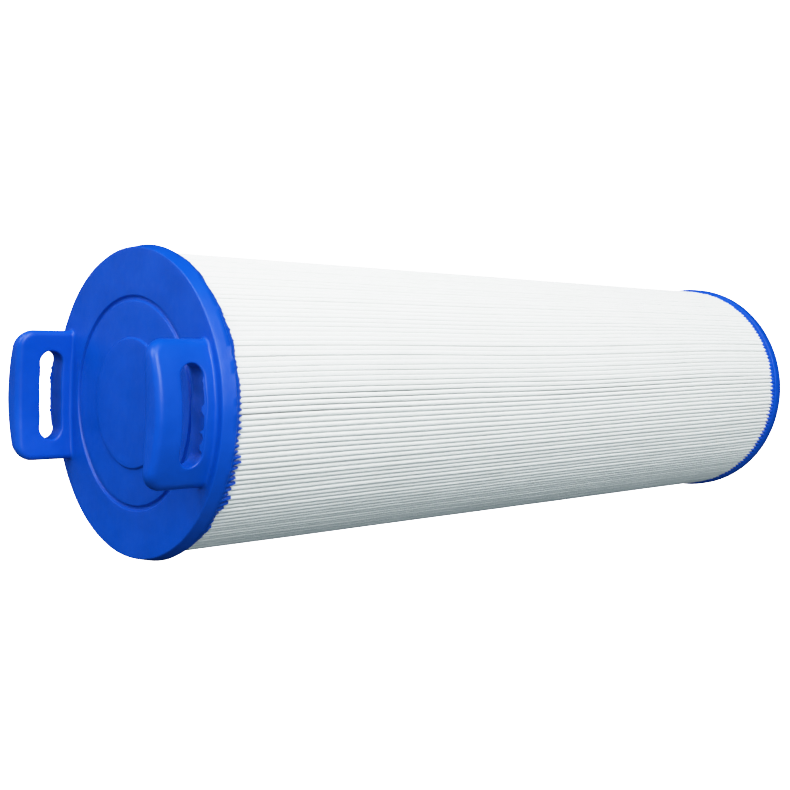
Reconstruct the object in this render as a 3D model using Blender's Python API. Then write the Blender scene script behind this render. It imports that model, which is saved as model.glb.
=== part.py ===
"""Pleated spa filter cartridge, standing on its open end.

The row frame is in metres: +Z runs up the cartridge's axis, the origin is the centre of the
bottom cap's seating face, and the two lifting handles stand on the top cap at +X and -X.
"""
import math

import bmesh
import bpy
from mathutils import Matrix

MM = 0.001

# Driving dimensions
BODY_LENGTH = 407.0 * MM          # bottom seating face to top cap face
CAP_FLOOR = 3.0 * MM              # cap thickness over the ends of the pleats
LIP_RADIUS = 60.7 * MM            # inside of each cap's lip, around the pleats
CAP_EDGE = 1.8 * MM               # rounding of a cap's outer edge
FIT_GAP = 0.3 * MM                # clearance between neighbouring pieces

# Top cap
TOP_CAP_RADIUS = 62.7 * MM        # 4-15/16 in across
TOP_CAP_RIM = 5.8 * MM            # height of its outer wall
GROOVE_RADIUS = 41.5 * MM
GROOVE_WIDTH = 2.0 * MM
GROOVE_DEPTH = 1.0 * MM
GROOVE_DRAFT = 0.3 * MM           # how far each groove wall leans out
BOSS_RADIUS = 26.0 * MM
BOSS_HEIGHT = 0.8 * MM
BOSS_DRAFT = 0.5 * MM

# Bottom cap
BOTTOM_CAP_RADIUS = 61.6 * MM
BOTTOM_CAP_RIM = 6.8 * MM
OPENING_RADIUS = 27.0 * MM        # 2-1/8 in open end
OPENING_CHAMFER = 1.0 * MM
NECK_WALL = 1.7 * MM              # collar that runs up inside the core
NECK_HEIGHT = 4.0 * MM

# Handles
HANDLE_OUTER_RADIUS = 58.0 * MM   # the outer face follows the cap's rim
HANDLE_INNER_X = 48.0 * MM        # the inner face is nearly flat
HANDLE_INNER_SAG = 2.0 * MM       # and falls back this much at the handle's sides
HANDLE_WIDTH = 54.2 * MM
HANDLE_HEIGHT = 24.4 * MM         # above the cap face
HANDLE_CORNER = 7.0 * MM
HANDLE_EDGE = 2.6 * MM            # rounding along the handle's edges
HANDLE_ROOT = 1.5 * MM            # depth to which the handle runs into the cap
SLOT_WIDTH = 37.0 * MM
SLOT_HEIGHT = 9.6 * MM
SLOT_BASE = 4.5 * MM              # the slot's lower edge, above the cap face
SLOT_EDGE = 0.8 * MM

# Pleated strip, folded in a zigzag between the core and the caps' lips
PLEATS = 176
PLEAT_OUTER_RADIUS = 60.4 * MM
PLEAT_INNER_RADIUS = 32.4 * MM
FABRIC = 0.4 * MM                 # thickness of the spunbond polyester
TIP_SPREAD = 0.85 * MM            # between the two legs of a pleat, at its tip
FOLD_GAP = 0.18 * MM              # between neighbouring pleats, at the inner folds
SEAM_GAP = 1.0 * MM               # between the strip's two ends, at the inner folds
SEAM_FILM = 0.3 * MM
SEAM_INNER_RADIUS = 33.2 * MM
SEAM_OUTER_RADIUS = 57.0 * MM
SEAM_AZIMUTH = math.radians(10.0)

# Core
CORE_RADIUS = 32.0 * MM
CORE_BORE = 29.0 * MM
CORE_SECTIONS = 4
CORE_COLUMNS = 24                 # ribs and windows take turns around the core
CORE_WINDOW_ROWS = 3
CORE_END_RING = 9.0 * MM          # solid ring at each end of a section
CORE_MID_RING = 6.0 * MM          # solid ring between two rows of windows
SOCKET_DEPTH = 5.0 * MM
SOCKET_RADIUS = 30.6 * MM
SPIGOT_HEIGHT = 4.5 * MM
SPIGOT_RADIUS = 30.3 * MM
PLUG_DISC = 3.5 * MM
PLUG_SOCKET_DEPTH = 4.7 * MM

ROUND_SEGMENTS = 72
EDGE_STEPS = 3                    # facets across a rounded edge
SMOOTH_ANGLE = math.radians(35)

TOP_FACE = BODY_LENGTH
PACK_BOTTOM = CAP_FLOOR + FIT_GAP
PACK_TOP = TOP_FACE - CAP_FLOOR - FIT_GAP
PLUG_HEIGHT = PLUG_DISC + PLUG_SOCKET_DEPTH
CORE_PITCH = (PACK_TOP - PLUG_HEIGHT - PACK_BOTTOM) / CORE_SECTIONS


# ---------------------------------------------------------------- tools

def clear_scene():
    for obj in list(bpy.data.objects):
        bpy.data.objects.remove(obj, do_unlink=True)


def make_material(name, colour, roughness, metallic=0.0):
    material = bpy.data.materials.new(name)
    material.use_nodes = True
    shader = material.node_tree.nodes["Principled BSDF"]
    shader.inputs["Base Color"].default_value = (*colour, 1.0)
    shader.inputs["Roughness"].default_value = roughness
    shader.inputs["Metallic"].default_value = metallic
    return material


def finish_object(name, bm, material):
    """Turn a bmesh into a named, smooth-shaded object with its faces pointing out."""
    bmesh.ops.recalc_face_normals(bm, faces=bm.faces)
    mesh = bpy.data.meshes.new(name)
    bm.to_mesh(mesh)
    bm.free()
    mesh.shade_smooth()
    mesh.set_sharp_from_angle(angle=SMOOTH_ANGLE)
    mesh.materials.append(material)
    obj = bpy.data.objects.new(name, mesh)
    bpy.context.collection.objects.link(obj)
    return obj


def bridge_rings(bm, lower, upper):
    """Join two closed rings of equal size, or a ring and a single vertex."""
    count = max(len(lower), len(upper))
    for i in range(count):
        j = (i + 1) % count
        corners = [lower[i % len(lower)], lower[j % len(lower)]]
        corners += [upper[j % len(upper)], upper[i % len(upper)]]
        bm.faces.new(list(dict.fromkeys(corners)))


def circle_points(radius, height, segments):
    if radius == 0.0:
        return [(0.0, 0.0, height)]
    angles = [math.tau * i / segments for i in range(segments)]
    return [(radius * math.cos(a), radius * math.sin(a), height) for a in angles]


def ring_of(bm, points):
    return [bm.verts.new(point) for point in points]


def turned_solid(profile, segments):
    """Spin an outline of (radius, height) points about Z.

    An outline that starts and ends on the axis is a disc. Any other closes on itself, as a ring.
    """
    bm = bmesh.new()
    rings = [ring_of(bm, circle_points(r, z, segments)) for r, z in profile]
    for lower, upper in zip(rings, rings[1:]):
        bridge_rings(bm, lower, upper)
    if profile[0][0] > 0.0:
        bridge_rings(bm, rings[-1], rings[0])
    return bm


def arc(centre, radius, start, sweep, steps):
    """Points of an arc in a plane, both ends included; angles are in degrees."""
    points = []
    for i in range(steps + 1):
        angle = math.radians(start + sweep * i / steps)
        points.append((centre[0] + radius * math.cos(angle), centre[1] + radius * math.sin(angle)))
    return points


def between(start, end, pieces):
    """Points inside the straight line from start to end, without its ends."""
    return [tuple(a + (b - a) * i / pieces for a, b in zip(start, end)) for i in range(1, pieces)]


# ---------------------------------------------------------------- caps and handles

def top_cap_profile():
    groove_in = GROOVE_RADIUS - GROOVE_WIDTH / 2
    groove_out = GROOVE_RADIUS + GROOVE_WIDTH / 2
    edge_centre = (TOP_CAP_RADIUS - CAP_EDGE, TOP_FACE - CAP_EDGE)
    lip_edge = TOP_FACE - TOP_CAP_RIM
    profile = [(0.0, TOP_FACE + BOSS_HEIGHT)]
    profile += [(BOSS_RADIUS - BOSS_DRAFT, TOP_FACE + BOSS_HEIGHT), (BOSS_RADIUS, TOP_FACE)]
    profile += [(groove_in, TOP_FACE), (groove_in + GROOVE_DRAFT, TOP_FACE - GROOVE_DEPTH)]
    profile += [(groove_out - GROOVE_DRAFT, TOP_FACE - GROOVE_DEPTH), (groove_out, TOP_FACE)]
    profile += arc(edge_centre, CAP_EDGE, 90, -90, EDGE_STEPS)
    profile += [(TOP_CAP_RADIUS, lip_edge), (LIP_RADIUS, lip_edge)]
    profile += [(LIP_RADIUS, TOP_FACE - CAP_FLOOR), (0.0, TOP_FACE - CAP_FLOOR)]
    return profile


def bottom_cap_profile():
    neck_top = CAP_FLOOR + NECK_HEIGHT
    profile = [(LIP_RADIUS, CAP_FLOOR), (LIP_RADIUS, BOTTOM_CAP_RIM)]
    profile += [(BOTTOM_CAP_RADIUS, BOTTOM_CAP_RIM)]
    profile += arc((BOTTOM_CAP_RADIUS - CAP_EDGE, CAP_EDGE), CAP_EDGE, 0, -90, EDGE_STEPS)
    profile += [(OPENING_RADIUS + OPENING_CHAMFER, 0.0), (OPENING_RADIUS, OPENING_CHAMFER)]
    profile += [(OPENING_RADIUS, neck_top), (OPENING_RADIUS + NECK_WALL, neck_top)]
    profile += [(OPENING_RADIUS + NECK_WALL, CAP_FLOOR)]
    return profile


def handle_outline(inset):
    """Handle seen from outside: (sideways, height) points, counter-clockwise from lower right.

    The inset pulls in the sides and the top, and leaves the root where it is.
    """
    half = HANDLE_WIDTH / 2 - inset
    top = HANDLE_HEIGHT - inset
    corner = HANDLE_CORNER - inset
    centre_height = top - corner
    right = arc((half - corner, centre_height), corner, 0, 90, 4)
    left = arc((corner - half, centre_height), corner, 90, 90, 4)
    root_right = (half, -HANDLE_ROOT)
    root_left = (-half, -HANDLE_ROOT)
    outline = [root_right] + between(root_right, right[0], 2) + right
    outline += between(right[-1], left[0], 4) + left
    outline += between(left[-1], root_left, 2) + [root_left]
    return outline + between(root_left, root_right, 4)


def slot_outline(outset):
    """Slot seen from outside, point for point beside handle_outline."""
    radius = SLOT_HEIGHT / 2 + outset
    reach = SLOT_WIDTH / 2 - SLOT_HEIGHT / 2
    height = SLOT_BASE + SLOT_HEIGHT / 2
    right = arc((reach, height), radius, -90, 180, 6)
    left = arc((-reach, height), radius, 90, 180, 6)
    outline = right + between(right[-1], left[0], 4) + left
    return outline + between(left[-1], right[0], 4)


def inner_face_x(sideways):
    return HANDLE_INNER_X - HANDLE_INNER_SAG * (2 * sideways / HANDLE_WIDTH) ** 2


def outer_face_x(sideways):
    return math.sqrt(HANDLE_OUTER_RADIUS ** 2 - sideways ** 2)


def edge_levels(size, steps):
    """(inset, depth) pairs that take a rounded edge from the face to the side wall."""
    angles = [math.pi / 2 * i / steps for i in range(steps + 1)]
    return [(size * (1 - math.sin(a)), size * (1 - math.cos(a))) for a in angles]


def make_handle(name, half_turns, material):
    """Loop handle, as one closed ring of outlines: in along the slot and out around the rim."""
    bm = bmesh.new()
    rim = edge_levels(HANDLE_EDGE, EDGE_STEPS)
    mouth = edge_levels(SLOT_EDGE, 1)
    loops = [(slot_outline(inset), inner_face_x, depth) for inset, depth in reversed(mouth)]
    loops += [(handle_outline(inset), inner_face_x, depth) for inset, depth in rim]
    loops += [(handle_outline(inset), outer_face_x, -depth) for inset, depth in reversed(rim)]
    loops += [(slot_outline(inset), outer_face_x, -depth) for inset, depth in mouth]
    rings = []
    for outline, face_x, depth in loops:
        points = [(face_x(y) + depth, y, TOP_FACE + height) for y, height in outline]
        rings.append(ring_of(bm, points))
    for ring, following in zip(rings, rings[1:] + rings[:1]):
        bridge_rings(bm, ring, following)
    turn = Matrix.Rotation(math.pi * half_turns, 3, "Z")
    bmesh.ops.rotate(bm, verts=bm.verts, matrix=turn, cent=(0.0, 0.0, 0.0))
    handle = finish_object(name, bm, material)
    handle.hide_render = True
    handle.display_type = "WIRE"
    return handle


def make_top_cap(material):
    cap = finish_object("top_cap", turned_solid(top_cap_profile(), ROUND_SEGMENTS), material)
    for half_turns in (0, 1):
        handle = make_handle("handle_stock_" + str(half_turns), half_turns, material)
        union = cap.modifiers.new(handle.name, "BOOLEAN")
        union.operation = "UNION"
        union.solver = "MANIFOLD"      # EXACT leaves open edges where the root meets the disc
        union.object = handle
    return cap


def make_bottom_cap(material):
    return finish_object("bottom_cap", turned_solid(bottom_cap_profile(), ROUND_SEGMENTS), material)


# ---------------------------------------------------------------- pleated strip

def polar(radius, angle):
    return (radius * math.cos(angle), radius * math.sin(angle))


def strip_outline():
    """The strip's outside and inside faces, as two lists of (x, y) points with equal indices.

    The outside face has two points at each tip and one at each side of a fold. The folds are
    a little closer than the tips, because the seam takes extra room at the core.
    """
    half = FABRIC / 2
    outside_fold_radius = PLEAT_INNER_RADIUS + FABRIC
    under_tip_radius = PLEAT_OUTER_RADIUS - FABRIC
    seam_extra = (SEAM_GAP - FOLD_GAP) / outside_fold_radius
    tip_pitch = math.tau / PLEATS
    fold_pitch = (math.tau - seam_extra) / PLEATS
    leg_at_tip = TIP_SPREAD / 2
    leg_at_fold = FOLD_GAP / 2 + half
    outside = []
    inside = []
    for pleat in range(PLEATS):
        tip = SEAM_AZIMUTH + tip_pitch * (pleat + 0.5)
        for side, fold_count in ((1, pleat), (-1, pleat + 1)):
            fold = SEAM_AZIMUTH + seam_extra / 2 + fold_pitch * fold_count
            outer_fold = fold + side * (leg_at_fold - half) / outside_fold_radius
            inner_fold = fold + side * (leg_at_fold + half) / PLEAT_INNER_RADIUS
            outer_tip = tip - side * (leg_at_tip + half) / PLEAT_OUTER_RADIUS
            under_tip = tip - side * (leg_at_tip - half) / under_tip_radius
            outer_leg = [polar(outside_fold_radius, outer_fold), polar(PLEAT_OUTER_RADIUS, outer_tip)]
            inner_leg = [polar(PLEAT_INNER_RADIUS, inner_fold), polar(under_tip_radius, under_tip)]
            outside += outer_leg[::side]
            inside += inner_leg[::side]
    return outside, inside


def make_pleated_media(material):
    outside, inside = strip_outline()
    section = outside + inside[::-1]
    bm = bmesh.new()
    lower = ring_of(bm, [(x, y, PACK_BOTTOM) for x, y in section])
    upper = ring_of(bm, [(x, y, PACK_TOP) for x, y in section])
    bridge_rings(bm, lower, upper)
    last = len(section) - 1
    for i in range(len(outside) - 1):
        for ring in (lower, upper):
            bm.faces.new((ring[i], ring[i + 1], ring[last - i - 1], ring[last - i]))
    return finish_object("pleated_media", bm, material)


def make_media_seam(material):
    """Hot-melt film between the strip's two end legs."""
    bm = bmesh.new()
    rings = []
    for height in (PACK_BOTTOM, PACK_TOP):
        corners = [(SEAM_INNER_RADIUS, -1), (SEAM_OUTER_RADIUS, -1)]
        corners += [(SEAM_OUTER_RADIUS, 1), (SEAM_INNER_RADIUS, 1)]
        rings.append(ring_of(bm, [(r, side * SEAM_FILM / 2, height) for r, side in corners]))
        bm.faces.new(rings[-1])
    bridge_rings(bm, *rings)
    turn = Matrix.Rotation(SEAM_AZIMUTH, 3, "Z")
    bmesh.ops.rotate(bm, verts=bm.verts, matrix=turn, cent=(0.0, 0.0, 0.0))
    return finish_object("media_seam", bm, material)


# ---------------------------------------------------------------- core

def window_levels():
    """Heights of each row of windows above a section's lower end, as (bottom, top) pairs."""
    shoulder = CORE_PITCH - FIT_GAP
    rings = 2 * CORE_END_RING + (CORE_WINDOW_ROWS - 1) * CORE_MID_RING
    window = (shoulder - rings) / CORE_WINDOW_ROWS
    bottoms = [CORE_END_RING + row * (window + CORE_MID_RING) for row in range(CORE_WINDOW_ROWS)]
    return [(bottom, bottom + window) for bottom in bottoms]


def make_core_section(name, base, material):
    """Perforated tube with a socket at its lower end and a spigot at its upper end."""
    shoulder = CORE_PITCH - FIT_GAP
    levels = [height for pair in window_levels() for height in pair]
    spigot_top = shoulder + SPIGOT_HEIGHT
    outer = [(CORE_RADIUS, h) for h in [0.0] + levels + [shoulder]]
    outer += [(SPIGOT_RADIUS, shoulder), (SPIGOT_RADIUS, spigot_top)]
    inner = [(SOCKET_RADIUS, 0.0), (SOCKET_RADIUS, SOCKET_DEPTH), (CORE_BORE, SOCKET_DEPTH)]
    inner += [(CORE_BORE, h) for h in levels + [spigot_top]]
    outer_levels = range(1, 1 + len(levels))
    inner_levels = range(3, 3 + len(levels))

    bm = bmesh.new()
    walls = []
    for profile in (outer, inner):
        walls.append([ring_of(bm, circle_points(r, base + z, CORE_COLUMNS)) for r, z in profile])
    for rings, window_rings in zip(walls, (outer_levels[::2], inner_levels[::2])):
        for i, (lower, upper) in enumerate(zip(rings, rings[1:])):
            for column in range(CORE_COLUMNS):
                if i not in window_rings or column % 2:
                    beside = (column + 1) % CORE_COLUMNS
                    bm.faces.new((lower[column], lower[beside], upper[beside], upper[column]))
    for outer_ring, inner_ring in ((walls[0][0], walls[1][0]), (walls[0][-1], walls[1][-1])):
        bridge_rings(bm, outer_ring, inner_ring)
    for outer_level, inner_level in zip(outer_levels[::2], inner_levels[::2]):
        for column in range(0, CORE_COLUMNS, 2):
            outer_frame = window_frame(walls[0], outer_level, column)
            inner_frame = window_frame(walls[1], inner_level, column)
            bridge_rings(bm, outer_frame, inner_frame)
    return finish_object(name, bm, material)


def window_frame(rings, level, column):
    """The four corners of a window in one wall of the tube, in order around it."""
    beside = (column + 1) % CORE_COLUMNS
    lower = rings[level]
    upper = rings[level + 1]
    return [lower[column], lower[beside], upper[beside], upper[column]]


def make_core_plug(material):
    """Lid over the uppermost section's spigot."""
    base = PACK_TOP - PLUG_HEIGHT
    underside = PACK_TOP - PLUG_DISC
    profile = [(0.0, PACK_TOP), (CORE_RADIUS, PACK_TOP), (CORE_RADIUS, base)]
    profile += [(SOCKET_RADIUS, base), (SOCKET_RADIUS, underside), (0.0, underside)]
    return finish_object("core_plug", turned_solid(profile, CORE_COLUMNS), material)


# ---------------------------------------------------------------- assembly

def build_cartridge():
    clear_scene()
    polyurethane = make_material("cap_polyurethane", (0.004, 0.075, 0.58), 0.32)
    polyester = make_material("spunbond_polyester", (0.86, 0.87, 0.85), 0.85)
    hot_melt = make_material("hot_melt", (0.72, 0.66, 0.45), 0.45)
    polypropylene = make_material("core_polypropylene", (0.78, 0.78, 0.76), 0.42)

    make_top_cap(polyurethane)
    make_bottom_cap(polyurethane)
    make_pleated_media(polyester)
    make_media_seam(hot_melt)
    for number in range(CORE_SECTIONS):
        base = PACK_BOTTOM + CORE_PITCH * number
        make_core_section("core_section_" + str(number + 1), base, polypropylene)
    make_core_plug(polypropylene)


build_cartridge()
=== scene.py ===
"""Detailed pieces, materials, light and camera for the pleated spa filter cartridge.

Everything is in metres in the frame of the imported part: +Z runs up the cartridge's axis, the
origin is the centre of the seating face, and the two handles stand at +X and -X.
"""

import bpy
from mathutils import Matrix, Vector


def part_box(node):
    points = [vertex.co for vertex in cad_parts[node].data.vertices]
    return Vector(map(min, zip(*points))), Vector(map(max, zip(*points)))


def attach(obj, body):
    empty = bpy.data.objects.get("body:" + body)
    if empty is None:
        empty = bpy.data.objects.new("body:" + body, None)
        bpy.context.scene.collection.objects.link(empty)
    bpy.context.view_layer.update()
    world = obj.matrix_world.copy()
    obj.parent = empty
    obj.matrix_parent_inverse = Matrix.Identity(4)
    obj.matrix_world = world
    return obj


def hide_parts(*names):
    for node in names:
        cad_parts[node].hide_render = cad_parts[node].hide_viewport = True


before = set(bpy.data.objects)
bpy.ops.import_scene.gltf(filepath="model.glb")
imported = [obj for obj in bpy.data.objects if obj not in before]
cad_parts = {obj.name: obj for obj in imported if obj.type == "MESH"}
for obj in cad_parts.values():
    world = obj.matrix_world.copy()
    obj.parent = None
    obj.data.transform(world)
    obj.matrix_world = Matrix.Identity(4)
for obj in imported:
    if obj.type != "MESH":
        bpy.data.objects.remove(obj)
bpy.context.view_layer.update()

import math
import random

import bmesh
import bpy
from mathutils import Matrix, Quaternion, Vector, noise

MM = 0.001

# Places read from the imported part
MEDIA_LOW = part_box("pleated_media")[0].z
MEDIA_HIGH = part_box("pleated_media")[1].z
TOP_CAP_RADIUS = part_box("top_cap")[1].x
BOTTOM_CAP_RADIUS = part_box("bottom_cap")[1].x
TOP_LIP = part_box("top_cap")[0].z            # lower edge of the top cap's lip

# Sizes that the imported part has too
CAP_FLOOR = 3.0 * MM                        # cap thickness over the ends of the pleats
LIP_RADIUS = 60.7 * MM                      # inside of each cap's lip
CAP_EDGE = 1.8 * MM                         # rounding of the bottom cap's outer edge
TOP_FACE = TOP_LIP + 5.8 * MM
BOTTOM_LIP = 6.8 * MM                       # upper edge of the bottom cap's lip
GROOVE_RADIUS = 41.5 * MM
GROOVE_WIDTH = 2.0 * MM
GROOVE_DEPTH = 1.0 * MM
BOSS_RADIUS = 26.0 * MM
BOSS_HEIGHT = 0.8 * MM
OPENING_RADIUS = 27.0 * MM
NECK_WALL = 1.7 * MM
NECK_HEIGHT = 4.0 * MM
HANDLE_OUTER_RADIUS = 58.0 * MM
HANDLE_INNER_X = 48.0 * MM
HANDLE_INNER_SAG = 2.0 * MM
HANDLE_WIDTH = 54.2 * MM
HANDLE_HEIGHT = 24.4 * MM
HANDLE_CORNER = 7.0 * MM
HANDLE_EDGE = 2.6 * MM
HANDLE_ROOT = 1.5 * MM
SLOT_WIDTH = 37.0 * MM
SLOT_HEIGHT = 9.6 * MM
SLOT_BASE = 4.5 * MM
SLOT_EDGE = 0.8 * MM
PLEATS = 176
PLEAT_INNER_RADIUS = 32.4 * MM
FABRIC = 0.4 * MM
FOLD_GAP = 0.18 * MM
SEAM_GAP = 1.0 * MM
SEAM_FILM = 0.3 * MM
SEAM_INNER_RADIUS = 33.2 * MM
SEAM_OUTER_RADIUS = 57.0 * MM
SEAM_AZIMUTH = math.radians(10.0)

# Detail that only this file has: caps
TOP_FACE_RADIUS = 61.6 * MM                 # the top cap's wall has some draft
TOP_FACE_EDGE = 0.7 * MM
LIP_CORNER = 0.3 * MM                       # small bevel at the free edge of each lip and the neck
CAP_SEGMENTS = 264
FILLET = 1.1 * MM                           # where a handle runs into the cap
FLASH_STEPS = 56

# Points along a handle's outline; the slot's outline has to have as many
SIDE_STEPS = 8
CORNER_STEPS = 10
SPAN_STEPS = 16
RIM_STEPS = 8                               # around the rounding of the handle's edges
MOUTH_STEPS = 4                             # around the rounding of the slot's edges

# Pleats
TIP_RADIUS = 60.15 * MM                     # mean reach of the pleats' rounded tips
TIP_ROUND = 0.85 * MM                       # height of a tip's round part
TIP_STEPS = 6
FLAT_AZIMUTH = math.radians(62.0)           # middle of the side where the pleats are pressed flat
FLAT_HALF_WIDTH = math.radians(54.0)
FLAT_SHARE = 0.28                           # how much of the tips' roundness is left there
MEDIA_LEVELS = 18
LEAN = math.radians(4.6)                    # turn of the pleats from one end to the other
LEAST_GAP = 0.03 * MM                       # between the tips of pleats that touch
OPEN_CHOICES = (0.0, 0.0, 0.0, 0.0, 0.04, 0.08, 0.22)   # mm between tips; most pleats touch
WIDE_VALLEYS = (-4, -2, -1, 0, 1, 3, 6)     # folds around the seam that stand open
WIDE_OPENING = (0.14, 0.30)                 # mm

# Resin that crept out between the pleats
RESIN_FOOT = 58.4 * MM                      # radius at which it ends inside the pleats
RESIN_OVER_TIPS = 60.65 * MM                # least radius where it covers the tips
RESIN_TUCK = 1.0 * MM                       # how far it reaches under the lip
COMB_AZIMUTH = math.radians(-24.0)          # side on which the resin ran furthest
COMB_SPREAD = 9                             # a higher power keeps the comb to a narrower side

SEED = 11
noise.seed_set(SEED)                        # else noise_vector differs from one run to the next

# Picture tones: scene brightness is kept up to the knee, and reaches full white at TONE_WHITE
TONE_KNEE = 0.5
TONE_WHITE = 4.0
TONE_LEVELS = (TONE_KNEE, 0.6, 0.75, 0.95, 1.2, 1.5, 2.0, 2.7)

# Studio
LOOK_AT = Vector((0.0, 0.0, 0.23))          # the lights face this point
LIGHT_DISTANCE = 1.4
LIGHT_SIZE = 0.9
STAGE_GLOW = 5.0                            # the floor and the backdrop read as pure white
FLOOR_DROP = 0.4 * MM                       # the floor lies this far under the seating face
FILL_COLOUR = (0.68, 0.91, 1.0, 1.0)
FILL_STRENGTH = 0.24

# Camera
SENSOR_WIDTH = 36.0                         # mm
LENS = 52.694                               # mm
CAMERA_PLACE = Vector((0.39895, 0.03631, 0.64814))
CAMERA_TURN = Quaternion((0.919738, -0.023234, 0.390829, 0.028199))


# ---------------------------------------------------------------- tools

def finish_piece(name, bm, material, nodes, sharp=40.0):
    """Turn a bmesh into a named piece that rides on the root body and stands for CAD nodes."""
    bmesh.ops.recalc_face_normals(bm, faces=bm.faces)
    mesh = bpy.data.meshes.new(name)
    bm.to_mesh(mesh)
    bm.free()
    mesh.shade_smooth()
    mesh.set_sharp_from_angle(angle=math.radians(sharp))
    mesh.materials.append(material)
    piece = bpy.data.objects.new(name, mesh)
    bpy.context.collection.objects.link(piece)
    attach(piece, "root")
    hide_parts(*nodes)
    return piece


def bridge_rings(bm, lower, upper):
    """Join two closed rings of equal size, or a ring and a single vertex."""
    count = max(len(lower), len(upper))
    for i in range(count):
        j = (i + 1) % count
        corners = [lower[i % len(lower)], lower[j % len(lower)]]
        corners += [upper[j % len(upper)], upper[i % len(upper)]]
        bm.faces.new(list(dict.fromkeys(corners)))


def close_rings(bm, rings):
    """Join each ring to the next, and the last one to the first."""
    for lower, upper in zip(rings, rings[1:] + rings[:1]):
        bridge_rings(bm, lower, upper)


def arc(centre, radius, start, sweep, steps):
    """Points of an arc in a plane, both ends included; angles are in degrees."""
    points = []
    for i in range(steps + 1):
        angle = math.radians(start + sweep * i / steps)
        across = centre[0] + radius * math.cos(angle)
        points.append((across, centre[1] + radius * math.sin(angle)))
    return points


def between(start, end, pieces):
    """Points inside the straight line from start to end, without its ends."""
    return [tuple(a + (b - a) * i / pieces for a, b in zip(start, end)) for i in range(1, pieces)]


def subdivided(profile, longest):
    """The same outline with extra points on its long straight runs."""
    points = [profile[0]]
    for start, end in zip(profile, profile[1:]):
        pieces = max(1, math.ceil(math.dist(start, end) / longest))
        points += between(start, end, pieces) + [end]
    return points


def ripple(point, size, depth):
    """Smooth signed noise: features of the given size, at most about the given depth."""
    return noise.noise(Vector(point) / size) * depth


def turned_solid(profile, segments, shift):
    """Spin an outline of (radius, height) points about Z. shift moves each point a little."""
    bm = bmesh.new()
    rings = []
    for radius, height in profile:
        if radius == 0.0:
            rings.append([bm.verts.new((0.0, 0.0, height))])
            continue
        ring = []
        for i in range(segments):
            angle = math.tau * i / segments
            r, z = shift(radius, height, angle)
            ring.append(bm.verts.new((r * math.cos(angle), r * math.sin(angle), z)))
        rings.append(ring)
    for lower, upper in zip(rings, rings[1:]):
        bridge_rings(bm, lower, upper)
    if profile[0][0] > 0.0:
        bridge_rings(bm, rings[-1], rings[0])
    return bm


# ---------------------------------------------------------------- materials

def add_node(tree, kind, settings=None, **inputs):
    """A node with its settings and inputs; an input is a value or another node's socket."""
    made = tree.nodes.new(kind)
    for key, value in (settings or {}).items():
        setattr(made, key, value)
    for key, value in inputs.items():
        socket = made.inputs[key.replace("_", " ")]
        if isinstance(value, bpy.types.NodeSocket):
            tree.links.new(value, socket)
        else:
            socket.default_value = value
    return made


def start_material(name, **shader_values):
    """A material with these values on its shader, and the object's coordinates to build on."""
    material = bpy.data.materials.new(name)
    material.use_nodes = True
    tree = material.node_tree
    shader = tree.nodes["Principled BSDF"]
    for key, value in shader_values.items():
        shader.inputs[key.replace("_", " ")].default_value = value
    place = add_node(tree, "ShaderNodeTexCoord").outputs["Object"]
    return material, tree, shader, place


def noise_value(tree, place, scale, detail=2.0, roughness=0.5, stretch=None):
    if stretch:
        place = add_node(tree, "ShaderNodeMapping", Vector=place, Scale=stretch).outputs[0]
    made = add_node(tree, "ShaderNodeTexNoise", Vector=place, Scale=scale, Detail=detail,
                    Roughness=roughness)
    return made.outputs["Fac"]


def remap(tree, value, low, high, to_low, to_high):
    made = add_node(tree, "ShaderNodeMapRange", Value=value)
    names = ("From Min", "From Max", "To Min", "To Max")
    for key, number in zip(names, (low, high, to_low, to_high)):
        made.inputs[key].default_value = number
    return made.outputs["Result"]


def ramp(tree, value, stops):
    made = add_node(tree, "ShaderNodeValToRGB", Fac=value)
    elements = made.color_ramp.elements
    while len(elements) < len(stops):
        elements.new(0.5)
    for element, (position, colour) in zip(elements, stops):
        element.position = position
        element.color = (*colour, 1.0)
    return made.outputs["Color"]


def bump(tree, height, distance, strength=1.0, normal=None):
    made = add_node(tree, "ShaderNodeBump", Height=height, Distance=distance, Strength=strength)
    if normal:
        tree.links.new(normal, made.inputs["Normal"])
    return made.outputs["Normal"]


def make_cap_material():
    """Cast polyurethane: deep blue, softly glossy, with faint mottling and ripples."""
    material, tree, shader, place = start_material("cast_polyurethane", IOR=1.49)
    shader.inputs["Specular IOR Level"].default_value = 0.36
    mottling = noise_value(tree, place, 55.0, detail=4.0, roughness=0.6)
    tones = [(0.25, (0.0005, 0.066, 0.50)), (0.55, (0.0010, 0.076, 0.56)),
             (0.8, (0.0025, 0.086, 0.61))]
    tree.links.new(ramp(tree, mottling, tones), shader.inputs["Base Color"])
    patches = noise_value(tree, place, 70.0, detail=1.0)
    tree.links.new(remap(tree, patches, 0.0, 1.0, 0.26, 0.44), shader.inputs["Roughness"])
    waves = bump(tree, noise_value(tree, place, 170.0, detail=1.0), 0.00035, 0.5)
    grain = bump(tree, noise_value(tree, place, 1900.0, detail=3.0), 0.00004, 0.6, waves)
    tree.links.new(grain, shader.inputs["Normal"])
    return material


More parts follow.
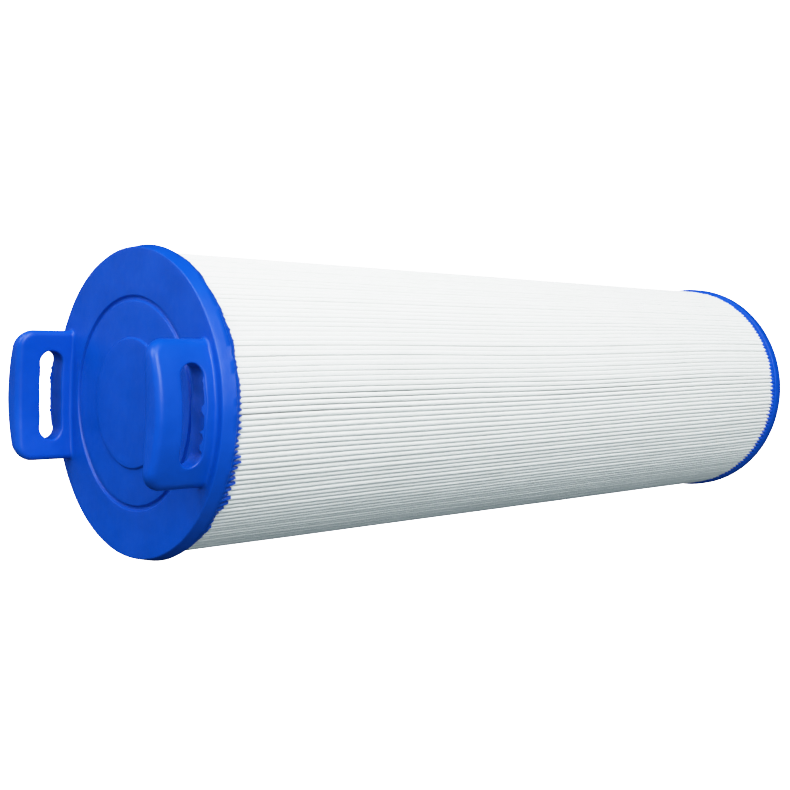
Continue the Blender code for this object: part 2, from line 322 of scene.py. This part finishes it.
def make_media_material():
    """White spunbond polyester: a mat of fine fibres, pressed at rows of small bond points."""
    material, tree, shader, place = start_material("spunbond_polyester", Roughness=0.9,
                                                   Sheen_Weight=0.08)
    shader.inputs["Diffuse Roughness"].default_value = 0.4
    shader.inputs["Specular IOR Level"].default_value = 0.25
    clouds = noise_value(tree, place, 45.0, detail=3.0)
    fibres = noise_value(tree, place, 900.0, detail=4.0, roughness=0.7,
                         stretch=(1.0, 1.0, 0.35))
    tone = add_node(tree, "ShaderNodeMath", {"operation": "MULTIPLY_ADD"})
    tree.links.new(fibres, tone.inputs[0])
    tone.inputs[1].default_value = 0.6
    tree.links.new(remap(tree, clouds, 0.0, 1.0, 0.0, 0.4), tone.inputs[2])
    tones = [(0.25, (0.83, 0.835, 0.81)), (0.5, (0.875, 0.88, 0.865)),
             (0.75, (0.90, 0.905, 0.895))]
    tree.links.new(ramp(tree, tone.outputs[0], tones), shader.inputs["Base Color"])
    bonds = add_node(tree, "ShaderNodeTexVoronoi", {"feature": "SMOOTH_F1"}, Vector=place,
                     Scale=1250.0)
    points = bump(tree, bonds.outputs["Distance"], 0.00010, 0.5)
    mat = bump(tree, fibres, 0.00008, 0.6, points)
    tree.links.new(mat, shader.inputs["Normal"])
    return material


def make_melt_material():
    """Hot-melt: amber, waxy, a little cloudy."""
    material, tree, shader, place = start_material("hot_melt", IOR=1.46)
    cloud = noise_value(tree, place, 240.0, detail=3.0)
    tones = [(0.3, (0.60, 0.52, 0.30)), (0.7, (0.74, 0.68, 0.46))]
    tree.links.new(ramp(tree, cloud, tones), shader.inputs["Base Color"])
    tree.links.new(remap(tree, cloud, 0.2, 0.8, 0.38, 0.55), shader.inputs["Roughness"])
    skin = noise_value(tree, place, 700.0)
    tree.links.new(bump(tree, skin, 0.0001, 0.5), shader.inputs["Normal"])
    return material


def make_core_material():
    """Moulded polypropylene: off-white, slightly waxy, with a fine tool texture."""
    material, tree, shader, place = start_material("moulded_polypropylene", IOR=1.49)
    cloud = noise_value(tree, place, 60.0, detail=3.0)
    tones = [(0.3, (0.70, 0.70, 0.67)), (0.7, (0.79, 0.79, 0.77))]
    tree.links.new(ramp(tree, cloud, tones), shader.inputs["Base Color"])
    tree.links.new(remap(tree, cloud, 0.2, 0.8, 0.36, 0.50), shader.inputs["Roughness"])
    tooling = noise_value(tree, place, 2400.0, detail=3.0)
    tree.links.new(bump(tree, tooling, 0.00004, 0.6), shader.inputs["Normal"])
    return material


# ---------------------------------------------------------------- pleated strip

def lean_at(height):
    """How far the pleats have turned about Z at this height."""
    return LEAN * (0.5 - (height - MEDIA_LOW) / (MEDIA_HIGH - MEDIA_LOW))


def wander(azimuth, height):
    """Sideways wander of the pleats, in metres; neighbours wander together."""
    around = Vector((math.cos(azimuth), math.sin(azimuth), 0.0))
    slow = noise.noise(around * 2.2 + Vector((0.0, 0.0, height * 7.0)))
    quick = noise.noise(around * 9.0 + Vector((5.0, 0.0, height * 16.0)))
    return slow * 0.9 * MM + quick * 0.28 * MM


def pleat_azimuth(position, height):
    """Azimuth of a place on the strip: whole positions are folds at the core, halves are tips."""
    azimuth = SEAM_AZIMUTH + math.tau * position / PLEATS
    return azimuth + lean_at(height) + wander(azimuth, height) / TIP_RADIUS


def polar(radius, angle, height):
    return (radius * math.cos(angle), radius * math.sin(angle), height)


def tip_round(azimuth):
    """Height of the tips' round part; on one side the pleats were pressed flat."""
    from_flat = abs(math.remainder(azimuth - FLAT_AZIMUTH, math.tau)) / FLAT_HALF_WIDTH
    share = min(1.0, max(0.0, (from_flat - 0.85) / 0.3))
    return TIP_ROUND * (FLAT_SHARE + (1.0 - FLAT_SHARE) * share * share * (3.0 - 2.0 * share))


def valley_gap(fold, height, openness):
    """How far two neighbouring pleats stand apart at their tips; nearly all of them touch."""
    drift = noise.noise(Vector((fold * 5.3, 2.0, height * 9.0)))
    return LEAST_GAP + max(0.0, openness * (0.75 + 0.9 * drift))


def strip_section(height, tips, openings):
    """The strip's outside and inside faces at one height, point for point.

    tips holds each pleat's sideways nudge and extra reach, openings how far each valley is open.
    """
    fold_radius = PLEAT_INNER_RADIUS + FABRIC
    seam_extra = (SEAM_GAP - FOLD_GAP) / fold_radius
    tip_at = []
    for pleat, (nudge, _) in enumerate(tips):
        own = noise.noise(Vector((pleat * 3.7, 0.0, height * 22.0)))
        sideways = (nudge + own * 0.07 * MM) / TIP_RADIUS
        tip_at.append(pleat_azimuth(pleat + 0.5, height) + sideways)
    valley_at = [(a + b) / 2 for a, b in zip(tip_at, tip_at[1:])]
    valley_at = [tip_at[0] - (valley_at[0] - tip_at[0])] + valley_at
    valley_at.append(tip_at[-1] + (tip_at[-1] - valley_at[-1]))
    gap_at = [valley_gap(i, height, opening) for i, opening in enumerate(openings)]
    outside = []
    inside = []
    for pleat, (_, reach) in enumerate(tips):
        swell = noise.noise(Vector((pleat * 3.7, 9.0, height * 22.0))) * 0.12 * MM
        tip = tip_at[pleat]
        rise = tip_round(tip - lean_at(height))
        centre_radius = TIP_RADIUS + reach + swell - rise
        left = (tip - valley_at[pleat]) * centre_radius - gap_at[pleat] / 2
        right = (valley_at[pleat + 1] - tip) * centre_radius - gap_at[pleat + 1] / 2
        for side, fold_count in ((1, pleat), (-1, pleat + 1)):
            fold = pleat_azimuth(fold_count, height) + seam_extra * (0.5 - fold_count / PLEATS)
            outer = polar(fold_radius, fold + side * FOLD_GAP / 2 / fold_radius, height)
            turn = side * (FOLD_GAP / 2 + FABRIC) / PLEAT_INNER_RADIUS
            inner = polar(PLEAT_INNER_RADIUS, fold + turn, height)
            outside.append(outer)
            inside.append(inner)
            if side == -1:
                continue
            for i in range(TIP_STEPS + 1):
                phi = math.pi * (i / TIP_STEPS - 0.5)
                half = left if phi < 0.0 else right
                for face, skin in ((outside, 0.0), (inside, FABRIC)):
                    radial = centre_radius + rise * math.cos(phi) - skin
                    sideways = (half - skin) * math.sin(phi)
                    turned = tip + math.atan2(sideways, radial)
                    face.append(polar(math.hypot(radial, sideways), turned, height))
    return outside, inside


def level_height(level):
    """Height of one of the levels, from the media's lower end to its upper end."""
    return MEDIA_LOW + (MEDIA_HIGH - MEDIA_LOW) * level / MEDIA_LEVELS


def make_media(material):
    """The folded strip: one closed skin around all of its pleats."""
    rng = random.Random(SEED)
    tips = []
    for _ in range(PLEATS):
        tips.append((rng.uniform(-0.10, 0.10) * MM, rng.uniform(-0.14, 0.14) * MM))
    openings = [rng.choice(OPEN_CHOICES) * MM for _ in range(PLEATS + 1)]
    for fold in WIDE_VALLEYS:
        openings[fold % PLEATS] = rng.uniform(*WIDE_OPENING) * MM
    openings[PLEATS] = openings[0]
    bm = bmesh.new()
    rings = []
    for level in range(MEDIA_LEVELS + 1):
        outside, inside = strip_section(level_height(level), tips, openings)
        rings.append([bm.verts.new(point) for point in outside + inside[::-1]])
    for lower, upper in zip(rings, rings[1:]):
        bridge_rings(bm, lower, upper)
    count = len(rings[0])
    for ring in (rings[0], rings[-1]):
        for i in range(count // 2 - 1):
            bm.faces.new((ring[i], ring[i + 1], ring[count - 2 - i], ring[count - 1 - i]))
    media = finish_piece("media_strip", bm, material, ["pleated_media"], sharp=75.0)


def make_seam(material):
    """Hot-melt film between the strip's two ends, leaning with the pleats."""
    bm = bmesh.new()
    rings = []
    radii = [SEAM_INNER_RADIUS + (SEAM_OUTER_RADIUS - SEAM_INNER_RADIUS) * i / 6 for i in range(7)]
    corners = [(r, -1) for r in radii] + [(r, 1) for r in reversed(radii)]
    for level in range(MEDIA_LEVELS + 1):
        height = level_height(level)
        azimuth = pleat_azimuth(0, height)
        ring = []
        for radius, side in corners:
            swell = 1.0 + 0.4 * noise.noise(Vector((radius * 300.0, 0.0, height * 60.0)))
            turned = azimuth + side * SEAM_FILM / 2 * swell / radius
            ring.append(bm.verts.new(polar(radius, turned, height)))
        rings.append(ring)
    for lower, upper in zip(rings, rings[1:]):
        bridge_rings(bm, lower, upper)
    bm.faces.new(rings[0])
    bm.faces.new(rings[-1])
    finish_piece("seam_film", bm, material, ["media_seam"])


# ---------------------------------------------------------------- caps

def cast_shift(radius, height, angle):
    """The slight waviness of a surface that was cast in a soft mould."""
    point = (radius * math.cos(angle), radius * math.sin(angle), height)
    dz = ripple(point, 14 * MM, 0.10 * MM) + ripple(point, 5 * MM, 0.03 * MM)
    dr = ripple((point[1], point[0], height), 11 * MM, 0.08 * MM)
    return radius + dr * min(1.0, radius / (20 * MM)), height + dz


def lip_edge(height, radius, angle, sign):
    """Ragged edge of the lip, where resin ran over the mould."""
    point = (radius * math.cos(angle), radius * math.sin(angle), 0.3)
    ragged = ripple(point, 5 * MM, 0.35 * MM) + ripple(point, 1.6 * MM, 0.25 * MM)
    return height - sign * max(ragged, -0.25 * MM)


def top_profile():
    """Outline of the top cap from the middle of its boss out, over the wall and back inside."""
    groove_in = GROOVE_RADIUS - GROOVE_WIDTH / 2
    groove_out = GROOVE_RADIUS + GROOVE_WIDTH / 2
    floor = TOP_FACE - GROOVE_DEPTH
    boss = TOP_FACE + BOSS_HEIGHT
    edge_centre = (TOP_FACE_RADIUS - TOP_FACE_EDGE, TOP_FACE - TOP_FACE_EDGE)
    profile = [(0.0, boss)]
    profile += arc((BOSS_RADIUS - 0.75 * MM, boss - 0.4 * MM), 0.4 * MM, 90, -70, 4)
    profile += arc((BOSS_RADIUS + 0.25 * MM, TOP_FACE + 0.3 * MM), 0.3 * MM, 200, 70, 4)
    profile += arc((groove_in - 0.4 * MM, TOP_FACE - 0.4 * MM), 0.4 * MM, 90, -75, 4)
    profile += [(groove_in + 0.25 * MM, floor + 0.15 * MM), (groove_in + 0.45 * MM, floor)]
    profile += [(groove_out - 0.45 * MM, floor), (groove_out - 0.25 * MM, floor + 0.15 * MM)]
    profile += arc((groove_out + 0.4 * MM, TOP_FACE - 0.4 * MM), 0.4 * MM, 165, -75, 4)
    profile += arc(edge_centre, TOP_FACE_EDGE, 90, -78, 5)
    profile += [(TOP_CAP_RADIUS, TOP_LIP + 0.4 * MM), (TOP_CAP_RADIUS - LIP_CORNER, TOP_LIP)]
    profile += [(LIP_RADIUS, TOP_LIP), (LIP_RADIUS, TOP_FACE - CAP_FLOOR)]
    profile += [(0.0, TOP_FACE - CAP_FLOOR)]
    return subdivided(profile, 2.2 * MM)


def make_top_disc(material):
    def shift(radius, height, angle):
        r, z = cast_shift(radius, height, angle)
        if height < TOP_LIP + 0.5 * MM:
            z = lip_edge(height, radius, angle, 1)
        elif height < TOP_FACE - GROOVE_DEPTH - 0.1 * MM:
            r, z = radius, height
        return r, z
    bm = turned_solid(top_profile(), CAP_SEGMENTS, shift)
    finish_piece("top_cap_disc", bm, material, ["top_cap"], sharp=50.0)


def bottom_profile():
    """Outline of the bottom cap from inside its lip, over the seating face to the neck."""
    neck = OPENING_RADIUS + NECK_WALL
    neck_top = CAP_FLOOR + NECK_HEIGHT
    profile = [(LIP_RADIUS, CAP_FLOOR), (LIP_RADIUS, BOTTOM_LIP)]
    profile += [(BOTTOM_CAP_RADIUS - LIP_CORNER, BOTTOM_LIP)]
    profile += [(BOTTOM_CAP_RADIUS, BOTTOM_LIP - LIP_CORNER)]
    profile += arc((BOTTOM_CAP_RADIUS - CAP_EDGE, CAP_EDGE), CAP_EDGE, 0, -90, 9)
    profile += arc((OPENING_RADIUS + 1.0 * MM, 1.0 * MM), 1.0 * MM, 270, -90, 6)
    profile += [(OPENING_RADIUS, neck_top - LIP_CORNER), (OPENING_RADIUS + LIP_CORNER, neck_top)]
    profile += [(neck - LIP_CORNER, neck_top), (neck, neck_top - LIP_CORNER), (neck, CAP_FLOOR)]
    return subdivided(profile, 2.5 * MM)


def make_bottom_cap(material):
    def shift(radius, height, angle):
        r, z = cast_shift(radius, height, angle)
        if height > BOTTOM_LIP - 0.5 * MM and radius > LIP_RADIUS - 0.1 * MM:
            z = lip_edge(height, radius, angle, -1)
        elif height < 0.4 * MM:
            z = height
        elif height > CAP_FLOOR - 0.1 * MM:
            r, z = radius, height
        return r, z
    bm = turned_solid(bottom_profile(), CAP_SEGMENTS, shift)
    finish_piece("bottom_cap_ring", bm, material, ["bottom_cap"], sharp=50.0)


def make_potting(name, node, edge, sign, skin, creep, tongues, comb, material):
    """Resin that crept out from under a lip, with a tongue in the notch between each two pleats.

    edge is the height of the lip's edge and sign is 1 where the cap is above it. skin is the
    radius of the resin at the lip, creep how far it covers the tips of the pleats, tongues the
    range of the tongues' lengths, and comb their share away from COMB_AZIMUTH.
    """
    rng = random.Random(SEED + (1 if sign > 0 else 2))
    tongue_shape = ((0.0, 1.0), (0.16, 0.6), (0.3, 0.12), (0.5, 0.0), (0.7, 0.12), (0.84, 0.6))
    bm = bmesh.new()
    rings = [[] for _ in range(7)]
    for pleat in range(PLEATS):
        here = rng.uniform(*tongues)
        following = rng.uniform(*tongues)
        for offset, share in tongue_shape:
            tongue = here if offset < 0.5 else following
            azimuth = pleat_azimuth(pleat + offset, edge)
            around = Vector((math.cos(azimuth), math.sin(azimuth), edge * 9.0))
            low_side = max(0.0, math.cos(azimuth - COMB_AZIMUTH)) ** COMB_SPREAD
            combed = comb + (1.0 - comb) * low_side + 0.3 * max(0.0, noise.noise(around * 2.1))
            wave = 1.0 - 0.45 * low_side + 0.35 * noise.noise(around * 5.0)
            wave += 0.3 * noise.noise(around * 19.0)
            reach = creep * max(0.2, wave) + tongue * share * combed
            over_tips = max(skin - 0.7 * MM, RESIN_OVER_TIPS)
            places = [(LIP_RADIUS + 0.05 * MM, edge + sign * RESIN_TUCK)]
            places += [(skin, edge + sign * 0.1 * MM)]
            places += [(skin - 0.15 * MM, edge - sign * reach * 0.4)]
            places += [(over_tips - 0.35 * share * MM, edge - sign * reach * 0.86)]
            places += [(TIP_RADIUS - 0.4 * share * MM, edge - sign * reach)]
            places += [(RESIN_FOOT, edge - sign * reach * 0.6)]
            places += [(RESIN_FOOT, edge + sign * RESIN_TUCK)]
            for ring, (radius, height) in zip(rings, places):
                ring.append(bm.verts.new(polar(radius, azimuth, height)))
    close_rings(bm, rings)
    finish_piece(name, bm, material, [node], sharp=50.0)


# ---------------------------------------------------------------- handles

def handle_outline(inset):
    """Handle seen from outside: (sideways, height) points, counter-clockwise from lower right."""
    half = HANDLE_WIDTH / 2 - inset
    top = HANDLE_HEIGHT - inset
    corner = HANDLE_CORNER - inset
    centre_height = top - corner
    right = arc((half - corner, centre_height), corner, 0, 90, CORNER_STEPS)
    left = arc((corner - half, centre_height), corner, 90, 90, CORNER_STEPS)
    root_right = (half, -HANDLE_ROOT)
    root_left = (-half, -HANDLE_ROOT)
    outline = [root_right] + between(root_right, right[0], SIDE_STEPS) + right
    outline += between(right[-1], left[0], SPAN_STEPS) + left
    outline += between(left[-1], root_left, SIDE_STEPS) + [root_left]
    return outline + between(root_left, root_right, SPAN_STEPS)


def slot_outline(outset):
    """Slot seen from outside, point for point beside handle_outline."""
    radius = SLOT_HEIGHT / 2 + outset
    reach = SLOT_WIDTH / 2 - SLOT_HEIGHT / 2
    height = SLOT_BASE + SLOT_HEIGHT / 2
    right = arc((reach, height), radius, -90, 180, SIDE_STEPS + CORNER_STEPS)
    left = arc((-reach, height), radius, 90, 180, SIDE_STEPS + CORNER_STEPS)
    outline = right + between(right[-1], left[0], SPAN_STEPS) + left
    return outline + between(left[-1], right[0], SPAN_STEPS)


def blend_outlines(first, second, share):
    """The outline that lies between two others, point for point."""
    return [tuple(a + (b - a) * share for a, b in zip(p, q)) for p, q in zip(first, second)]


def inner_face_x(sideways):
    """Where the nearly flat face towards the cartridge's axis stands."""
    return HANDLE_INNER_X - HANDLE_INNER_SAG * (2 * sideways / HANDLE_WIDTH) ** 2


def outer_face_x(sideways):
    """Where the outer face stands, which follows the cap's rim."""
    return math.sqrt(HANDLE_OUTER_RADIUS ** 2 - sideways ** 2)


def edge_levels(size, steps):
    """(inset, depth) pairs that take a rounded edge from the face to the side wall."""
    angles = [math.pi / 2 * i / steps for i in range(steps + 1)]
    return [(size * (1 - math.sin(a)), size * (1 - math.cos(a))) for a in angles]


def make_handle(name, half_turns, material):
    """Loop handle, as one closed ring of outlines: in along the slot and out around the rim."""
    rim = edge_levels(HANDLE_EDGE, RIM_STEPS)
    mouth = edge_levels(SLOT_EDGE, MOUTH_STEPS)
    ragged = SEED + 40 * half_turns            # the two handles differ in their small faults
    loops = []
    for inset, depth in reversed(mouth):
        loops.append((slot_outline(inset), inner_face_x, depth, True))
    for share in (0.25, 0.5, 0.75):
        face = blend_outlines(slot_outline(SLOT_EDGE), handle_outline(HANDLE_EDGE), share)
        loops.append((face, inner_face_x, 0.0, False))
    for inset, depth in rim:
        loops.append((handle_outline(inset), inner_face_x, depth, False))
    for inset, depth in reversed(rim):
        loops.append((handle_outline(inset), outer_face_x, -depth, False))
    for share in (0.75, 0.5, 0.25):
        face = blend_outlines(slot_outline(SLOT_EDGE), handle_outline(HANDLE_EDGE), share)
        loops.append((face, outer_face_x, 0.0, False))
    for inset, depth in mouth:
        loops.append((slot_outline(inset), outer_face_x, -depth, True))
    bm = bmesh.new()
    rings = []
    for outline, face_x, depth, at_slot in loops:
        ring = []
        for y, height in outline:
            point = Vector((face_x(y) + depth, y, TOP_FACE + height))
            seed = point + Vector((0.0, 0.0, ragged))
            point += noise.noise_vector(seed / (9 * MM)) * 0.10 * MM
            if at_slot:
                point.z += noise.noise(seed / (6 * MM)) * 0.45 * MM
                point.y += noise.noise(seed / (5 * MM) + Vector((3.0, 1.0, 0.0))) * 0.35 * MM
            ring.append(bm.verts.new(point))
        rings.append(ring)
    wall = rings[-1], rings[0]
    slot_height = TOP_FACE + SLOT_BASE + SLOT_HEIGHT / 2
    inner_rings = []
    for share in (1 / 4, 2 / 4, 3 / 4):
        ring = []
        for a, b in zip(*wall):
            point = a.co.lerp(b.co, share)
            seed = point + Vector((0.0, 0.0, ragged))
            outward = point - Vector((point.x, 0.0, slot_height))
            point += outward.normalized() * noise.noise(seed / (3.5 * MM)) * 0.35 * MM
            ring.append(bm.verts.new(point))
        inner_rings.append(ring)
    close_rings(bm, rings + inner_rings)
    add_fillet(bm)
    add_flash(bm, ragged + 1)
    turn = Matrix.Rotation(math.pi * half_turns, 3, "Z")
    bmesh.ops.rotate(bm, verts=bm.verts, matrix=turn, cent=(0.0, 0.0, 0.0))
    finish_piece(name, bm, material, ["top_cap"], sharp=60.0)


def footprint():
    """The handle's outline on the cap's face, as (x, y) points in order around it."""
    rim = edge_levels(HANDLE_EDGE, RIM_STEPS)
    half = HANDLE_WIDTH / 2
    straight = half - HANDLE_EDGE
    points = []
    for i in range(1, 24):
        y = -straight + 2 * straight * i / 24
        points.append((inner_face_x(y), y))
    for inset, depth in rim:
        y = half - inset
        points.append((inner_face_x(y) + depth, y))
    for inset, depth in reversed(rim):
        y = half - inset
        points.append((outer_face_x(y) - depth, y))
    for i in range(1, 24):
        y = straight - 2 * straight * i / 24
        points.append((outer_face_x(y), y))
    for inset, depth in rim:
        y = inset - half
        points.append((outer_face_x(y) - depth, y))
    for inset, depth in reversed(rim):
        y = inset - half
        points.append((inner_face_x(y) + depth, y))
    return points


def add_fillet(bm):
    """A hollow fillet around the handle's foot, let into the handle and the cap."""
    path = [Vector((x, y, TOP_FACE)) for x, y in footprint()]
    section = [(-0.6 * MM, -0.6 * MM), (-0.6 * MM, FILLET + 0.1 * MM)]
    section += [(-0.05 * MM, FILLET + 0.1 * MM)]
    section += [(FILLET - u, FILLET - v) for u, v in arc((0.0, 0.0), FILLET, 5, 80, 6)]
    section += [(FILLET + 0.2 * MM, -0.1 * MM), (FILLET + 0.2 * MM, -0.6 * MM)]
    rings = []
    for i, point in enumerate(path):
        along = path[(i + 1) % len(path)] - path[i - 1]
        outward = Vector((-along.y, along.x, 0.0)).normalized()
        wobble = 1.0 + 0.35 * noise.noise(point / (6 * MM))
        ring = []
        for u, v in section:
            reach = u * wobble if u > 0.0 else u
            rise = v * wobble if v > 0.0 else v
            ring.append(bm.verts.new(point + outward * reach + Vector((0.0, 0.0, rise))))
        rings.append(ring)
    close_rings(bm, rings)


def add_flash(bm, seed):
    """Torn film of resin left standing on the slot's lower edge, just inside the outer face."""
    rings = []
    reach = SLOT_WIDTH / 2 - SLOT_HEIGHT / 2
    for i in range(FLASH_STEPS + 1):
        y = reach * (2 * i / FLASH_STEPS - 1)
        tear = noise.noise(Vector((y / (4.5 * MM), seed, 0.0)))
        tear += 0.6 * noise.noise(Vector((y / (1.3 * MM), seed, 4.0)))
        fade = min(1.0, (reach - abs(y)) / (2.5 * MM))
        rise = (0.15 + max(0.0, tear) * 2.1) * fade * MM
        low = TOP_FACE + SLOT_BASE - 0.9 * MM
        high = TOP_FACE + SLOT_BASE + 0.25 * MM + rise
        x = outer_face_x(y) - 0.7 * MM
        crest = x - 0.25 * rise
        corners = [(x - 0.35 * MM, low), (crest - 0.12 * MM, high)]
        corners += [(crest + 0.12 * MM, high), (x + 0.35 * MM, low)]
        rings.append([bm.verts.new((cx, y, cz)) for cx, cz in corners])
    for first, second in zip(rings, rings[1:]):
        bridge_rings(bm, first, second)
    bm.faces.new(rings[0])
    bm.faces.new(rings[-1])


# ---------------------------------------------------------------- studio

def stage_mesh(name, bm, material):
    """The floor or the backdrop, neither of which is part of the object."""
    mesh = bpy.data.meshes.new(name)
    bm.to_mesh(mesh)
    bm.free()
    mesh.materials.append(material)
    obj = bpy.data.objects.new(name, mesh)
    bpy.context.collection.objects.link(obj)
    return obj


def make_studio():
    """Glowing white floor and backdrop that light nothing, and a pale blue fill from all sides."""
    floor_material, tree, shader, place = start_material("studio_floor", Roughness=0.9)
    shader.inputs["Specular IOR Level"].default_value = 0.1
    cloud = noise_value(tree, place, 3.0)
    tones = [(0.3, (0.19, 0.19, 0.19)), (0.7, (0.21, 0.21, 0.21))]
    tree.links.new(ramp(tree, cloud, tones), shader.inputs["Base Color"])
    shader.inputs["Emission Color"].default_value = (1.0, 1.0, 1.0, 1.0)
    shader.inputs["Emission Strength"].default_value = STAGE_GLOW
    bm = bmesh.new()
    bmesh.ops.create_grid(bm, x_segments=8, y_segments=8, size=7.0)
    floor = stage_mesh("floor", bm, floor_material)
    floor.location.z = -FLOOR_DROP
    floor.visible_diffuse = False
    floor.visible_glossy = False

    sky_material, tree, shader, place = start_material("studio_backdrop", Roughness=1.0)
    shader.inputs["Base Color"].default_value = (0.0, 0.0, 0.0, 1.0)
    shader.inputs["Emission Color"].default_value = (1.0, 1.0, 1.0, 1.0)
    shader.inputs["Emission Strength"].default_value = STAGE_GLOW
    bm = bmesh.new()
    bmesh.ops.create_uvsphere(bm, u_segments=32, v_segments=16, radius=9.0)
    backdrop = stage_mesh("backdrop", bm, sky_material)
    backdrop.visible_diffuse = False
    backdrop.visible_glossy = False
    backdrop.visible_transmission = False
    backdrop.visible_shadow = False

    world = bpy.data.worlds.new("studio_world")
    world.use_nodes = True
    background = world.node_tree.nodes["Background"]
    background.inputs["Color"].default_value = FILL_COLOUR
    background.inputs["Strength"].default_value = FILL_STRENGTH
    world.cycles_visibility.glossy = False
    bpy.context.scene.world = world


def add_light(name, azimuth, elevation, power):
    """Square soft light that faces LOOK_AT; angles in degrees, power in watts."""
    a = math.radians(azimuth)
    e = math.radians(elevation)
    direction = Vector((math.cos(a) * math.cos(e), math.sin(a) * math.cos(e), math.sin(e)))
    data = bpy.data.lights.new(name, "AREA")
    data.shape = "SQUARE"
    data.size = LIGHT_SIZE
    data.energy = power
    light = bpy.data.objects.new(name, data)
    light.location = LOOK_AT + direction * LIGHT_DISTANCE
    light.rotation_mode = "QUATERNION"
    light.rotation_quaternion = (-direction).to_track_quat("-Z", "Y")
    bpy.context.collection.objects.link(light)
    return light


def set_tone_curve():
    """A soft shoulder, so that the white media keeps its tones in front of the white backdrop."""
    view = bpy.context.scene.view_settings
    view.view_transform = "Standard"
    view.use_curve_mapping = True
    mapping = view.curve_mapping
    mapping.white_level = (TONE_WHITE, TONE_WHITE, TONE_WHITE)
    curve = mapping.curves[3]                # the combined curve, for all three colours
    span = 1.0 - TONE_KNEE
    for level in TONE_LEVELS:
        shown = TONE_KNEE + span * (1.0 - math.exp((TONE_KNEE - level) / span))
        curve.points.new(level / TONE_WHITE, shown)
    for point in curve.points:
        point.handle_type = "VECTOR"
    mapping.update()


def make_camera():
    """Looks down on the top cap from +X and above; the cartridge lies across the picture."""
    data = bpy.data.cameras.new("camera")
    data.sensor_width = SENSOR_WIDTH
    data.lens = LENS
    camera = bpy.data.objects.new("camera", data)
    camera.location = CAMERA_PLACE
    camera.rotation_mode = "QUATERNION"
    camera.rotation_quaternion = CAMERA_TURN
    bpy.context.collection.objects.link(camera)
    bpy.context.scene.camera = camera


# ---------------------------------------------------------------- assembly

def carry_over(node_names, material):
    """CAD nodes whose shape is right keep it and get this file's material."""
    for name in node_names:
        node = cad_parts[name]
        node.data.materials.clear()
        node.data.materials.append(material)


cap_material = make_cap_material()
media_material = make_media_material()
core_material = make_core_material()
make_top_disc(cap_material)
make_handle("handle_right", 0, cap_material)
make_handle("handle_left", 1, cap_material)
make_potting("potting_top", "top_cap", edge=TOP_LIP, sign=1, skin=62.3 * MM, creep=2.1 * MM,
             tongues=(1.8 * MM, 4.4 * MM), comb=0.15, material=cap_material)
make_bottom_cap(cap_material)
make_potting("potting_bottom", "bottom_cap", edge=BOTTOM_LIP, sign=-1, skin=61.2 * MM,
             creep=1.6 * MM, tongues=(1.2 * MM, 2.8 * MM), comb=0.7, material=cap_material)
make_media(media_material)
make_seam(make_melt_material())
core_nodes = ["core_section_1", "core_section_2", "core_section_3", "core_section_4", "core_plug"]
carry_over(core_nodes, core_material)

make_studio()
add_light("key", azimuth=31.0, elevation=20.0, power=17.0)
add_light("side", azimuth=60.0, elevation=20.0, power=7.5)
add_light("top", azimuth=90.0, elevation=50.0, power=11.5)
back_light = add_light("back", azimuth=155.0, elevation=36.0, power=5.0)
back_light.visible_glossy = False           # it fills, but leaves no veil on the glossy cap
make_camera()
set_tone_curve()
